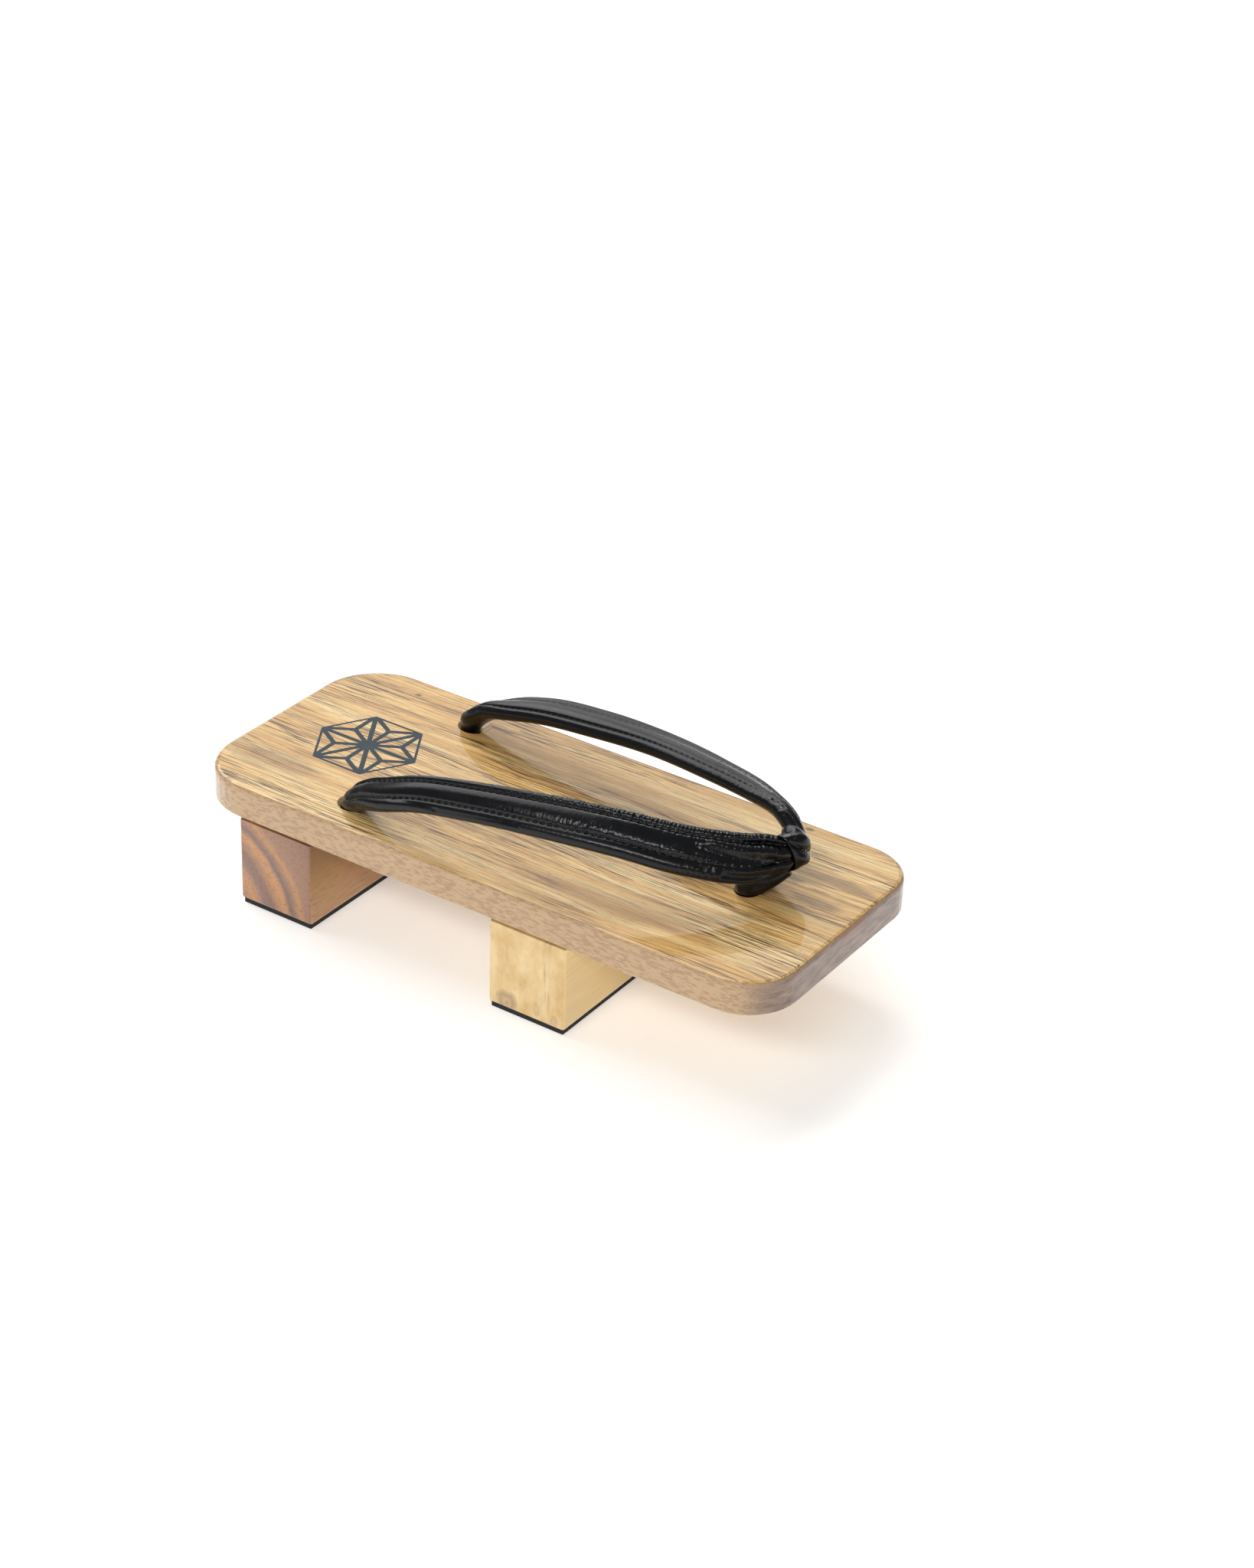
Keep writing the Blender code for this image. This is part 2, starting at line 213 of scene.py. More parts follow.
# Least width of the strap in millimetres for relief, and the width over it for all of it
RELIEF_WIDTH = 9.0
RELIEF_FADE = 4.0
# Near the bend, the listed creases go on where the strap is narrow
BEND_REACH = 60
BEND_SHARE = 0.4
# How far a field of crinkles fades along in millimetres and across in shares, its slant,
# and how sharp its folds are
CRINKLE_FADE = (14.0, 0.16)
CRINKLE_SLANT = 0.25
CRINKLE_SHARPNESS = 3.2

# Patches of the board's top: middle along and across, half length, half width in
# millimetres, strength and colour
BOARD_PATCHES = (
    (-118, -34, 34, 9, 0.40, "6E4A2C"),
    (-40, 0, 28, 12, 0.45, "D2B27C"),
    (2, 24, 66, 11, 0.35, "6A4A26"),
    (123, 26, 26, 5, 0.50, "5E4C3C"),
    (123, 9, 15, 4, 0.45, "5E4C3C"),
    (122, -3, 26, 4.5, 0.60, "D8BC80"),
    (124, -35, 26, 15, 0.55, "EED29A"),
    (60, -40, 60, 8, 0.25, "8A6230"),
    (-104, 48, 2.6, 1.5, 0.80, "3A2414"),
    (91, 55, 2.6, 1.5, 0.80, "3A2414"),
)
# How far the grain of the board wanders to a side, in metres
GRAIN_WANDER = 0.009
# The glued seam at the toe: slope, place across at the middle, and where it fades in
SEAM_SLOPE = 0.103
SEAM_OFFSET = -0.0027
SEAM_START = (0.095, 0.102)
# How far from the middle the sides turn into end grain
END_GRAIN = (0.127, 0.1415)
# Reddish heart of the end grain: middle and reach in millimetres
HEART = ((0, 4, 54), (0, 16, 6))

# The heel block's growth rings, in metres: the pith along X from the block and its height,
# unevenness of the rings, and how far from the pith the colours start and end
PITH = (-0.023, -0.008)
RING_WARP = 0.0050
RING_SPAN = (0.020, 0.090)

# Knots of the toe block's near side: middle along X and Z, half width and half height
# in millimetres, and strength
KNOTS = (
    (23.3, 5.0, 8.5, 9.5, 0.72),
    (37.8, 7.5, 3.4, 5.5, 0.32),
    (46.3, 5.0, 3.4, 4.6, 0.42),
)
KNOT_RINGS = ((0.30, 0.95), (0.45, 0.55), (0.62, 0.85), (0.80, 0.50), (0.98, 0.0))
KNOT_WARP = 0.55

# Soft lights: name, the setting of its brightness, place, sizes and colour
LAMPS = (
    ("overhead_softbox", "key", (-1.20, 0.30, 1.50), (1.6, 1.6), "FFFFFF"),
    ("near_softbox", "near", (0.36, -1.42, 1.30), (1.5, 0.34), "FFFFFF"),
    ("high_softbox", "high", (-0.50, 1.00, 1.66), (0.5, 0.3), "FFFFFF"),
    ("back_panel", "back", (-1.66, 2.50, 1.45), (2.3, 2.1), "ECEAEC"),
)
FLOOR_HALF_WIDTH = 6.0
FLOOR_GLOW = 0.33

# Camera, fitted to the photograph's angle: place, degrees round, up and rolled, and lens
CAMERA_PLACE = (0.65744, -0.94425, 0.73738)
CAMERA_ANGLES = (33.294, 30.075, 2.192)
CAMERA_LENS = 75.22
SENSOR_WIDTH = 36.0

# Clear polyurethane lacquer, brushed on and polished: sharp reflections on deep wood
LACQUER = {"Roughness": 0.55, "Specular IOR Level": 0.25, "Coat Weight": 1.0, "Coat IOR": 1.52}
# Settings that shader nodes share: a smooth ramp, a product, and a product and sum
SMOOTH = {"interpolation_type": "SMOOTHSTEP"}
TIMES = {"operation": "MULTIPLY"}
TIMES_AND = {"operation": "MULTIPLY_ADD"}


def linear(hex_colour):
    """Turns an sRGB colour such as "D8B98C" into linear red, green, blue and alpha."""
    channels = [int(hex_colour[start:start + 2], 16) / 255 for start in (0, 2, 4)]
    return [tone / 12.92 if tone <= 0.04045 else ((tone + 0.055) / 1.055) ** 2.4
            for tone in channels] + [1.0]


def colour_property(name, description, hex_colour):
    return bpy.props.FloatVectorProperty(
        name=name, description=description, default=linear(hex_colour)[:3],
        subtype="COLOR", size=3, min=0.0, max=1.0)


def length_property(name, description, default):
    return bpy.props.FloatProperty(
        name=name, description=description, default=default, min=0.0, unit="LENGTH",
        precision=5)


def share_property(name, description, default):
    return bpy.props.FloatProperty(
        name=name, description=description, default=default, min=0.0, max=1.0,
        subtype="FACTOR")


def brightness_property(name, description, default):
    return bpy.props.FloatProperty(
        name=name, description="Brightness of " + description, default=default, min=0.0)


class SandalStrapSettings(bpy.types.PropertyGroup):
    """Sizes of the stitched strap and its loop"""
    width: length_property("Width", "Width of the strap at its widest", 0.020)
    thickness: length_property("Thickness", "Thickness of the padded strap", 0.0072)
    groove: length_property("Groove", "Depth of the groove along a row of stitches", 0.0010)
    stitch_pitch: length_property("Stitch pitch", "Distance from stitch to stitch", 0.0031)
    thread: length_property("Thread", "Thickness of the sewing thread", 0.0006)
    loop_wall: length_property("Loop wall", "Thickness of the leather of the front loop", 0.0021)
    leather: colour_property("Leather", "Colour of the strap's leather", "06070B")
    thread_colour: colour_property("Thread colour", "Colour of the sewing thread", "08090B")


class SandalWoodSettings(bpy.types.PropertyGroup):
    """Colours of the lacquered wood"""
    board_light: colour_property("Board light", "Pale wood of the board", "EDC987")
    board_dark: colour_property("Board dark", "Deep wood of the board", "CE9E5A")
    board_streak: colour_property("Board streak", "Dark lines along the board", "56381A")
    # The side colour also covers the board's rounded top edge, where it stands for a painted
    # highlight
    board_side: colour_property("Board side", "Wood of the board's long edges", "C1A079")
    board_end: colour_property("Board end", "Wood of the board's ends", "8E7464")
    heel_light: colour_property("Heel block light", "Orange bands of the heel block", "C48A52")
    heel_dark: colour_property("Heel block dark", "Brown bands of the heel block", "7C5E54")
    toe_light: colour_property("Toe block light", "Pale wood of the toe block", "E4C48A")
    toe_dark: colour_property("Toe block dark", "Knots of the toe block", "8A6749")
    gloss: share_property("Board roughness", "Roughness of the lacquer on the board", 0.06)
    block_gloss: share_property("Block roughness", "Roughness of the lacquer on the blocks", 0.16)


class SandalPrintSettings(bpy.types.PropertyGroup):
    """Size and colour of the printed hemp-leaf star"""
    radius: length_property("Radius", "From the middle of the star to its corners", 0.0250)
    stroke: length_property("Stroke", "Width of the printed lines", 0.0021)
    film: length_property("Film", "Thickness of the ink", 0.00006)
    from_heel: length_property("From heel", "From the heel end to the star's middle", 0.0485)
    ink: colour_property("Ink", "Colour of the printing ink", "36434B")


class SandalStageSettings(bpy.types.PropertyGroup):
    """Floor, light and camera"""
    floor_colour: colour_property("Floor", "Colour of the floor", "F4F4F2")
    sky: brightness_property("Studio light", "the light from all round", 0.24)
    key: brightness_property("Overhead light", "the large soft light over the heel", 2.7)
    back: brightness_property("Back panel", "the wide panel behind the sandal", 1.1)
    near: brightness_property("Near softbox", "the wide soft light above the camera", 11.0)
    high: brightness_property("High softbox", "the small soft light above the far side", 14.0)


def add_node(tree, kind, links=None, output=0, **settings):
    """Adds a shader node with its links and settings and gives one of its outputs."""
    node = tree.nodes.new("ShaderNode" + kind)
    for name, value in settings.items():
        setattr(node, name, value)
    set_inputs(node, links or {})
    return node.outputs[output]


def set_inputs(node, links):
    """Sets inputs of a node, each to a value or to another node's output."""
    for name, value in links.items():
        if isinstance(value, bpy.types.NodeSocket):
            node.id_data.links.new(value, node.inputs[name])
        else:
            node.inputs[name].default_value = value


def set_stops(ramp, stops):
    """Gives a colour ramp its stops, each a place and an sRGB colour or a linear one."""
    elements = ramp.node.color_ramp.elements
    while len(elements) > 1:
        elements.remove(elements[-1])
    for number, (place, colour) in enumerate(stops):
        element = elements.new(place) if number else elements[0]
        element.position = place
        element.color = linear(colour) if isinstance(colour, str) else (*colour[:3], 1.0)
    return ramp


def new_material(name):
    """Makes a node material and gives it, its tree and its object coordinates."""
    material = bpy.data.materials.new(name)
    material.use_nodes = True
    tree = material.node_tree
    return material, tree, add_node(tree, "TexCoord", output="Object")


def finish_material(material, inputs, *bumps):
    """Sets the shader's inputs and stacks bumps on it, each a height's output, its distance
    and its strength."""
    tree = material.node_tree
    shader = tree.nodes["Principled BSDF"]
    set_inputs(shader, inputs)
    for height, distance, strength in bumps:
        links = {"Height": height, "Distance": distance, "Strength": strength}
        if shader.inputs["Normal"].is_linked:
            links["Normal"] = shader.inputs["Normal"].links[0].from_socket
        set_inputs(shader, {"Normal": add_node(tree, "Bump", links)})
    return material


def sized_noise(tree, vector, sizes, detail=2.0, roughness=0.5, span=None, shift=(0, 0, 0)):
    """Noise whose patches have a real size along X, Y and Z, in millimetres. A span makes
    it 0 below its first value and 1 above its second."""
    scale = [1 / (size * MM) for size in sizes]
    spread = add_node(tree, "Mapping", {"Vector": vector, "Scale": scale, "Location": shift})
    made = add_node(tree, "TexNoise", {
        "Vector": spread, "Scale": 1.0, "Detail": detail, "Roughness": roughness})
    if span:
        made = add_node(tree, "MapRange", {
            "Value": made, "From Min": span[0], "From Max": span[1]}, **SMOOTH)
    return made


def facing(tree, axis, low, high):
    """Gives 0 where a face looks along an axis by the share low, and 1 at the share high."""
    normal = add_node(tree, "TexCoord", output="Normal")
    part = add_node(tree, "SeparateXYZ", {"Vector": normal}, axis)
    size = add_node(tree, "Math", {0: part}, operation="ABSOLUTE")
    return add_node(tree, "MapRange", {
        "Value": size, "From Min": low, "From Max": high}, **SMOOTH)


def lay_over(tree, under, over, share, strength=1.0):
    """Lays a colour over another by a share times a strength, each a value or an output."""
    part = add_node(tree, "Math", {0: share, 1: strength}, **TIMES)
    tone = linear(over) if isinstance(over, str) else over
    return add_node(tree, "Mix", {0: part, 6: under, 7: tone}, 2, data_type="RGBA")


def soft_patch(tree, place, centre, reach, ragged):
    """Gives a soft spot: 1 at its middle and 0 past its reach along X, Y and Z, in
    millimetres. A reach of 0 is endless."""
    moved = add_node(tree, "VectorMath", {0: place, 1: [part * MM for part in centre]},
                     operation="SUBTRACT")
    scaled = add_node(tree, "VectorMath", {
        0: moved, 1: [1 / (part * MM) if part else 0.0 for part in reach]}, **TIMES)
    far = add_node(tree, "VectorMath", {0: scaled}, "Value", operation="LENGTH")
    uneven = add_node(tree, "Math", {0: ragged, 1: 0.9, 2: far}, **TIMES_AND)
    return add_node(tree, "MapRange", {
        "Value": uneven, "From Min": 1.45, "From Max": 0.85}, **SMOOTH)


def board_wood(wood):
    """Acacia, planed lengthwise: fine dark lines in a golden ground, and grey-brown end grain."""
    material, tree, place = new_material("lacquered_acacia_board")
    parts = add_node(tree, "SeparateXYZ", {"Vector": place}).node.outputs
    drift = sized_noise(tree, place, (120, 45, 45), 1.0)
    bent = add_node(tree, "Math", {0: drift, 1: GRAIN_WANDER, 2: parts["Y"]}, **TIMES_AND)
    grain = add_node(tree, "CombineXYZ", {"X": parts["X"], "Y": bent, "Z": parts["Z"]})
    colour = set_stops(add_node(tree, "ValToRGB", {
        "Fac": sized_noise(tree, grain, (170, 8, 8), 4.0, 0.6)}), (
            (0.34, wood.board_dark), (0.50, "E2B46A"), (0.60, wood.board_light),
            (0.74, "F7DC9C")))
    ragged = sized_noise(tree, grain, (16, 2.2, 2.2), 3.0, 0.6)
    for x, y, long, wide, strength, tone in BOARD_PATCHES:
        spot = soft_patch(tree, place, (x, y, 0), (long, wide, 0), ragged)
        colour = lay_over(tree, colour, tone, spot, strength)
    # Lines 0.4 to 0.8 mm wide and 10 to 40 mm long, in groups that come and go
    groups = sized_noise(tree, grain, (75, 10, 10), 2.0, 0.5, (0.36, 0.62), (3, 7, 1))
    fine = sized_noise(tree, grain, (22, 0.42, 0.42), 2.0, 0.5, (0.52, 0.58))
    broad = sized_noise(tree, grain, (34, 1.2, 1.2), 3.0, 0.55, (0.55, 0.61))
    faint = add_node(tree, "Math", {0: broad, 1: 0.40}, **TIMES)
    lines = add_node(tree, "Math", {0: fine, 1: faint}, operation="MAXIMUM")
    held = add_node(tree, "MapRange", {"Value": groups, "To Min": 0.34, "To Max": 1.00})
    colour = lay_over(tree, colour, (*wood.board_streak, 1.0), lines, held)
    # Pores: short dark dashes half a millimetre wide
    pores = sized_noise(tree, grain, (6, 0.5, 0.5), 2.0, 0.6, (0.60, 0.70))
    colour = lay_over(tree, colour, "4E3518", pores, 0.45)
    # The glued seam of two planks at the toe, on a slight slope
    slope = add_node(tree, "Math", {0: parts["X"], 1: SEAM_SLOPE, 2: SEAM_OFFSET}, **TIMES_AND)
    across = add_node(tree, "Math", {0: slope, 1: parts["Y"]}, operation="ADD")
    off_seam = add_node(tree, "Math", {0: across}, operation="ABSOLUTE")
    thin = add_node(tree, "MapRange", {
        "Value": off_seam, "From Min": 0.0006, "From Max": 0.0001, "To Max": 0.75}, **SMOOTH)
    started = add_node(tree, "MapRange", {
        "Value": parts["X"], "From Min": SEAM_START[0], "From Max": SEAM_START[1]}, **SMOOTH)
    colour = lay_over(tree, colour, "4A3826", thin, started)
    # Paler sides, speckled with pores. The pale tone also covers the rounded top edge, where it is
    # a painted highlight
    speck = sized_noise(tree, place, (3.5, 0.9, 0.9), 3.0, 0.6, (0.46, 0.60))
    side_tone_and_painted_edge_highlight = lay_over(tree, (*wood.board_side, 1.0), "8E6A46", speck, 0.50)
    colour = lay_over(tree, colour, side_tone_and_painted_edge_highlight, facing(tree, "Z", 0.98, 0.80))
    # End grain: mauve-brown rings with a reddish heart
    rings = set_stops(add_node(tree, "ValToRGB", {
        "Fac": sized_noise(tree, place, (30, 9, 2.0), 4.0, 0.6)}), (
            (0.35, "6E5848"), (0.52, wood.board_end), (0.70, "A88C74")))
    ended = lay_over(tree, rings, "94583A", soft_patch(tree, place, *HEART, ragged), 0.6)
    from_middle = add_node(tree, "Math", {0: parts["X"]}, operation="ABSOLUTE")
    at_end = add_node(tree, "MapRange", {
        "Value": from_middle, "From Min": END_GRAIN[0], "From Max": END_GRAIN[1]}, **SMOOTH)
    colour = lay_over(tree, colour, ended, at_end, facing(tree, "Z", 0.85, 0.50))
    return finish_material(
        material, {**LACQUER, "Base Color": colour, "Coat Roughness": wood.gloss},
        (pores, -0.00005, 0.25), (lines, -0.00004, 0.2))


def heel_block_wood(wood):
    """Acacia heartwood, sawn across: orange and grey-brown growth rings round a far pith."""
    material, tree, place = new_material("lacquered_heartwood_block")
    pith = Vector((HEEL_LOW.x + PITH[0], 0.0, PITH[1]))
    drift = sized_noise(tree, place, (16, 40, 12), 3.0)
    shifted = add_node(tree, "VectorMath", {0: place, 1: pith}, operation="SUBTRACT")
    flat = add_node(tree, "VectorMath", {0: shifted, 1: (1.0, 0.0, 1.0)}, **TIMES)
    radius = add_node(tree, "VectorMath", {0: flat}, "Value", operation="LENGTH")
    uneven = add_node(tree, "Math", {0: drift, 1: RING_WARP, 2: radius}, **TIMES_AND)
    share = add_node(tree, "MapRange", {
        "Value": uneven, "From Min": RING_SPAN[0], "From Max": RING_SPAN[1]})
    bands = set_stops(add_node(tree, "ValToRGB", {"Fac": share}), (
        (0.00, "9C7358"), (0.14, "A67B5E"), (0.207, wood.heel_light), (0.25, "AC8064"),
        (0.29, "8A685C"), (0.343, "876454"), (0.39, "B08058"), (0.425, wood.heel_light),
        (0.45, "C08A60"), (0.486, wood.heel_dark), (0.52, "997058"), (0.56, "BC8856"),
        (0.60, "A0755A"), (0.72, "946A50"), (0.85, "865C42"), (1.00, "744C34")))
    # The face to the toe: olive brown above, pinkish brown below, dark red at the far side. Its
    # tones are lightened as painted light from a warm bounce, and the darkening toward the top is
    # painted shade under the board
    parts = add_node(tree, "SeparateXYZ", {"Vector": place}).node.outputs
    height = add_node(tree, "MapRange", {
        "Value": parts["Z"], "From Min": HEEL_LOW.z, "From Max": HEEL_HIGH.z}, **SMOOTH)
    toe_face_wood_and_painted_light = set_stops(add_node(tree, "ValToRGB", {"Fac": height}), (
        (0.0, "BE9060"), (0.5, "A87834"), (1.0, "86581A")))
    far_side = add_node(tree, "MapRange", {
        "Value": parts["Y"], "From Max": 0.05}, **SMOOTH)
    toe_face_wood_and_painted_light = lay_over(tree, toe_face_wood_and_painted_light, "6E3018", far_side, 0.7)
    bands = lay_over(tree, bands, toe_face_wood_and_painted_light, facing(tree, "X", 0.5, 0.9))
    speck = sized_noise(tree, place, (1.2, 9, 1.2), 3.0, 0.6, (0.48, 0.70))
    pores = sized_noise(tree, place, (0.5, 8, 0.5), 2.0, 0.6, (0.60, 0.72))
    colour = lay_over(tree, bands, "5B3D2E", speck, 0.35)
    colour = lay_over(tree, colour, "4A3020", pores, 0.35)
    return finish_material(
        material, {**LACQUER, "Base Color": colour, "Coat Roughness": wood.block_gloss},
        (pores, -0.00006, 0.3), (speck, -0.00005, 0.3))


def toe_block_wood(wood):
    """Sapwood, sawn across: pale yellow with small grey-brown knots at the foot of one end."""
    material, tree, place = new_material("lacquered_sapwood_block")
    parts = add_node(tree, "SeparateXYZ", {"Vector": place}).node.outputs
    cloud = sized_noise(tree, place, (9, 60, 14), 3.0, 0.55)
    ground = set_stops(add_node(tree, "ValToRGB", {"Fac": cloud}), (
        (0.32, "D5AE6E"), (0.50, wood.toe_light), (0.70, "F0D8A4")))
    warp = sized_noise(tree, place, (5, 20, 5), 3.0)
    # A faint upright stripe beside the knots
    stripe = add_node(tree, "Math", {0: parts["X"], 1: TOE_LOW.x + 0.028, 2: 0.0022},
                      operation="COMPARE")
    tall = sized_noise(tree, place, (1.6, 30, 18), 3.0, 0.6, (0.44, 0.66))
    broken = add_node(tree, "Math", {0: stripe, 1: tall}, **TIMES)
    mark = add_node(tree, "Math", {0: broken, 1: 0.5}, **TIMES)
    for x, z, wide, high, strength in KNOTS:
        moved = add_node(tree, "VectorMath", {0: place, 1: (x * MM, 0.0, z * MM)},
                         operation="SUBTRACT")
        scaled = add_node(tree, "VectorMath", {
            0: moved, 1: (1 / (wide * MM), 0.0, 1 / (high * MM))}, **TIMES)
        reach = add_node(tree, "VectorMath", {0: scaled}, "Value", operation="LENGTH")
        uneven = add_node(tree, "Math", {0: warp, 1: KNOT_WARP, 2: reach}, **TIMES_AND)
        ring = set_stops(add_node(tree, "ValToRGB", {"Fac": uneven}), [
            (stop, (tone, tone, tone)) for stop, tone in KNOT_RINGS])
        shown = add_node(tree, "Math", {0: ring, 1: strength}, **TIMES)
        mark = add_node(tree, "Math", {0: mark, 1: shown}, operation="MAXIMUM")
    near = add_node(tree, "MapRange", {
        "Value": parts["Y"], "From Min": -0.050, "From Max": -0.059}, **SMOOTH)
    colour = lay_over(tree, ground, (*wood.toe_dark, 1.0), mark, near)
    # Faces toward the ends are lightened toward a pale yellow: painted light
    colour = lay_over(tree, colour, "FBE2A4", facing(tree, "X", 0.5, 0.9), 0.55)
    lines = sized_noise(tree, place, (2.0, 60, 2.4), 3.0, 0.6, (0.55, 0.75))
    colour = lay_over(tree, colour, "A67B44", lines, 0.22)
    return finish_material(
        material, {**LACQUER, "Base Color": colour, "Coat Roughness": wood.block_gloss},
        (lines, -0.00005, 0.25))


def sole_rubber():
    """Crepe rubber sheet, cut with a knife: dull black with a faint grit."""
    material, tree, place = new_material("cut_sole_rubber")
    grit = sized_noise(tree, place, (0.8, 0.8, 0.8), 3.0, 0.6)
    colour = set_stops(add_node(tree, "ValToRGB", {"Fac": grit}), (
        (0.35, "0F0F10"), (0.65, "242425")))
    return finish_material(
        material, {"Base Color": colour, "Roughness": 0.75}, (grit, 0.0002, 0.5))


def strap_leather(name, leather):
    """Chrome-tanned cowhide, finished glossy: black with fine pebbles and soft highlights."""
    material, tree, place = new_material(name)
    cloud = sized_noise(tree, place, (14, 14, 14), 3.0)
    colour = set_stops(add_node(tree, "ValToRGB", {"Fac": cloud}), (
        (0.35, [0.8 * tone for tone in leather]), (0.65, [1.3 * tone for tone in leather])))
    gloss = add_node(tree, "MapRange", {
        "Value": sized_noise(tree, place, (5, 5, 5), 3.0), "From Min": 0.3, "From Max": 0.7,
        "To Min": 0.17, "To Max": 0.27})
    # Pebbles of the hide, 0.5 mm apart, and creases of about a millimetre that break up
    # the highlights
    pebbles = add_node(tree, "TexVoronoi", {"Vector": place, "Scale": 1 / (0.5 * MM)},
                       "Distance", feature="SMOOTH_F1")
    crease = sized_noise(tree, place, (1.3, 1.3, 1.3), 4.0, 0.6)
    return finish_material(
        material, {"Base Color": colour, "Roughness": gloss, "Specular IOR Level": 0.36},
        (pebbles, -0.00006, 0.30), (crease, 0.00022, 0.50))


def sewing_thread(colour):
    """Bonded nylon thread, twisted: black with a dull sheen."""
    material, tree, place = new_material("bonded_nylon_thread")
    twist = sized_noise(tree, place, (0.4, 0.4, 0.4), 2.0)
    tone = set_stops(add_node(tree, "ValToRGB", {"Fac": twist}), (
        (0.35, [0.6 * part for part in colour]), (0.65, [1.6 * part for part in colour])))
    return finish_material(material, {"Base Color": tone, "Roughness": 0.6}, (twist, 0.0001, 0.4))


def print_ink(colour):
    """Screen-printed ink on the lacquer: an even matt slate, a little worn along the grain."""
    material, tree, place = new_material("screen_printed_ink")
    wear = sized_noise(tree, place, (9, 0.6, 0.6), 3.0, 0.6)
    tone = set_stops(add_node(tree, "ValToRGB", {"Fac": wear}), (
        (0.30, [0.75 * part for part in colour]), (0.60, colour),
        (0.80, [1.25 * part for part in colour])))
    return finish_material(
        material, {"Base Color": tone, "Roughness": 0.5, "Specular IOR Level": 0.2})


def paint_floor(colour):
    """Matt painted studio floor with a slight glow: a plain pale ground with soft shadows."""
    material, tree, place = new_material("matt_painted_floor")
    cloud = sized_noise(tree, place, (400, 400, 400), 2.0)
    tone = set_stops(add_node(tree, "ValToRGB", {"Fac": cloud}), (
        (0.3, [0.99 * part for part in colour]), (0.7, colour)))
    return finish_material(material, {
        "Base Color": tone, "Roughness": 0.9, "Specular IOR Level": 0.1,
        "Emission Color": linear("FFFFFF"), "Emission Strength": FLOOR_GLOW})


def add_piece(name, shape, material, replaces=(), smooth=True):
    """Makes an object of a bmesh, shades it and lets it ride on the sandal."""
    mesh = bpy.data.meshes.new(name)
    shape.to_mesh(mesh)
    shape.free()
    if smooth:
        mesh.shade_smooth()
    mesh.materials.append(material)
    piece = bpy.data.objects.new(name, mesh)
    bpy.context.scene.collection.objects.link(piece)
    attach(piece, BODY)
    if replaces:
        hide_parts(*replaces)
    return piece


def dress_node(name, material):
    """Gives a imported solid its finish."""
    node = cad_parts[name]
    node.data.materials.clear()
    node.data.materials.append(material)


def distances(points):
    """Gives how far along a row of points each of them lies."""
    steps = numpy.linalg.norm(numpy.diff(points, axis=0), axis=1)
    return numpy.concatenate(([0.0], numpy.cumsum(steps)))


def smooth_rows(rows, steps):
    """Reads a smooth curve through rows of numbers, as the part's source does."""
    table = numpy.array(rows, dtype=float)
    place = distances(table[:, :3])
    slope = numpy.gradient(table, place, axis=0)
    sampled = [table[0]]
    for k in range(len(table) - 1):
        gap = place[k + 1] - place[k]
        for t in numpy.linspace(0.0, 1.0, steps + 1)[1:]:
            start = ((2 * t ** 3 - 3 * t ** 2 + 1) * table[k]
                     + (t ** 3 - 2 * t ** 2 + t) * gap * slope[k])
            end = ((3 * t ** 2 - 2 * t ** 3) * table[k + 1]
                   + (t ** 3 - t ** 2) * gap * slope[k + 1])
            sampled.append(start + end)
    return numpy.array(sampled)


def strap_rows(sizes):
    """Gives the strap's sections as rows of x, y, z, width, thickness and roll."""
    rows = [(REAR_HOLE_X + forward * STRAP_REACH, side * REAR_HOLE_SPACING / 2 + lean * LEAN,
             BOARD_TOP + rise * STRAP_RISE, wide * sizes.width, thick * sizes.thickness,
             math.radians(roll))
            for forward, side, lean, rise, wide, thick, roll in STRAP_ROWS]
    down = Vector((-math.sin(REAR_HOLE_SLANT), 0, -math.cos(REAR_HOLE_SLANT)))
    depth = BOARD_THICKNESS / math.cos(REAR_HOLE_SLANT)
    tails = []
    for side in (-1, 1):
        mouth = Vector((REAR_HOLE_X, side * REAR_HOLE_SPACING / 2, BOARD_TOP))
        tails.append([(*(mouth + down * depth * share), STRAP_TAIL, STRAP_TAIL,
                       math.radians(STRAP_ROWS[0][-1])) for share in TAIL_SHARES])
    return tails[0][::-1] + rows + tails[1]


def strap_path(sizes):
    """Gives the strap's fine path and how far along it each point lies from the bend."""
    path = smooth_rows(strap_rows(sizes), PATH_STEPS)
    along = distances(path[:, :3])
    return path, along - along[(len(TAIL_SHARES) + BEND_ROW) * PATH_STEPS]


def sample_path(sizes, places):
    """Reads the strap's sections and its headings at places along it."""
    path, along = strap_path(sizes)
    stations = numpy.stack([numpy.interp(places, along, column) for column in path.T], axis=1)
    slopes = numpy.stack([numpy.interp(places, along, column) for column in
                          numpy.gradient(path[:, :3], along, axis=0).T], axis=1)
    return stations, slopes / numpy.linalg.norm(slopes, axis=1)[:, None]


def section_frame(heading, roll):
    """Gives the directions across a section and out of its outer face."""
    outward = numpy.cross(heading, (0, 0, 1))
    outward = outward / numpy.linalg.norm(outward)
    upward = numpy.cross(outward, heading)
    across = outward * math.cos(roll) - upward * math.sin(roll)
    face = upward * math.cos(roll) + outward * math.sin(roll)
    return across, face


def section_outline(width, thickness, turns):
    """Gives a flat oval as distances across it and out of it, with its outward directions."""
    power = 2 / (OVAL + SQUARENESS * (1 - thickness / max(width, thickness)))
    cosine, sine = numpy.cos(turns), numpy.sin(turns)
    u = numpy.sign(cosine) * numpy.abs(cosine) ** power * width / 2
    v = numpy.sign(sine) * numpy.abs(sine) ** power * thickness / 2
    slope_u = numpy.sign(cosine) * numpy.abs(cosine) ** (2 - power) / width
    slope_v = numpy.sign(sine) * numpy.abs(sine) ** (2 - power) / thickness
    size = numpy.hypot(slope_u, slope_v)
    return u, v, slope_u / size, slope_v / size


